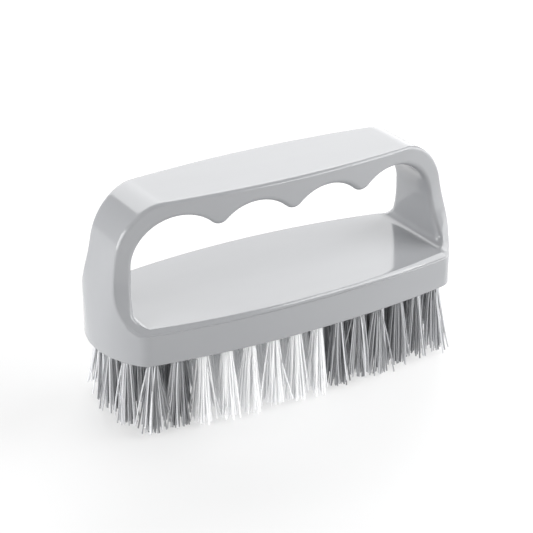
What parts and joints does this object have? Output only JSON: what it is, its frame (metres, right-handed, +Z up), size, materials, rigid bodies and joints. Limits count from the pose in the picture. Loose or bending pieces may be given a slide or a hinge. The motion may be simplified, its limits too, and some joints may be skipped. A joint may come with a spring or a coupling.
{
  "type": "nail brush",
  "caption": "Hand-held nail brush: a moulded bristle block with a closed handle loop and finger arches, set with rows of straight bristle tufts for scrubbing nails and hands.",
  "frame": {"origin": "centre of the bristle tips' footprint, on the plane that the tips stand on", "axes": "+X along the handle, -Y the front that the picture shows, +Z up from the bristle tips to the handle"},
  "size_m": [0.1, 0.0396, 0.0568],
  "materials": {
    "grey_plastic": "glossy moulded",
    "grey_strands": "smooth strands",
    "white_strands": "smooth strands",
    "anchor_steel": "rolled flat wire"
  },
  "bodies": {
    "root": {"brush_body": "grey_plastic", "front_tuft_01": "grey_strands", "front_tuft_02": "grey_strands", "front_tuft_03": "white_strands", "front_tuft_04": "white_strands", "front_tuft_05": "white_strands", "front_tuft_06": "white_strands", "front_tuft_07": "white_strands", "front_tuft_08": "white_strands", "front_tuft_09": "grey_strands", "front_tuft_10": "grey_strands", "front_tuft_11": "grey_strands", "front_tuft_12": "grey_strands", "front_tuft_13": "grey_strands", "front_tuft_14": "grey_strands", "back_tuft_01": "grey_strands", "back_tuft_02": "grey_strands", "back_tuft_03": "white_strands", "back_tuft_04": "white_strands", "back_tuft_05": "white_strands", "back_tuft_06": "white_strands", "back_tuft_07": "white_strands", "back_tuft_08": "white_strands", "back_tuft_09": "grey_strands", "back_tuft_10": "grey_strands", "back_tuft_11": "grey_strands", "back_tuft_12": "grey_strands", "back_tuft_13": "grey_strands", "back_tuft_14": "grey_strands", "front_anchor_01": "anchor_steel", "front_anchor_02": "anchor_steel", "front_anchor_03": "anchor_steel", "front_anchor_04": "anchor_steel", "front_anchor_05": "anchor_steel", "front_anchor_06": "anchor_steel", "front_anchor_07": "anchor_steel", "front_anchor_08": "anchor_steel", "front_anchor_09": "anchor_steel", "front_anchor_10": "anchor_steel", "front_anchor_11": "anchor_steel", "front_anchor_12": "anchor_steel", "front_anchor_13": "anchor_steel", "front_anchor_14": "anchor_steel", "back_anchor_01": "anchor_steel", "back_anchor_02": "anchor_steel", "back_anchor_03": "anchor_steel", "back_anchor_04": "anchor_steel", "back_anchor_05": "anchor_steel", "back_anchor_06": "anchor_steel", "back_anchor_07": "anchor_steel", "back_anchor_08": "anchor_steel", "back_anchor_09": "anchor_steel", "back_anchor_10": "anchor_steel", "back_anchor_11": "anchor_steel", "back_anchor_12": "anchor_steel", "back_anchor_13": "anchor_steel", "back_anchor_14": "anchor_steel", "inner_tuft_row_1": "grey_strands", "inner_tuft_row_2": "grey_strands", "inner_tuft_row_3": "grey_strands"}
  },
  "joints": []
}
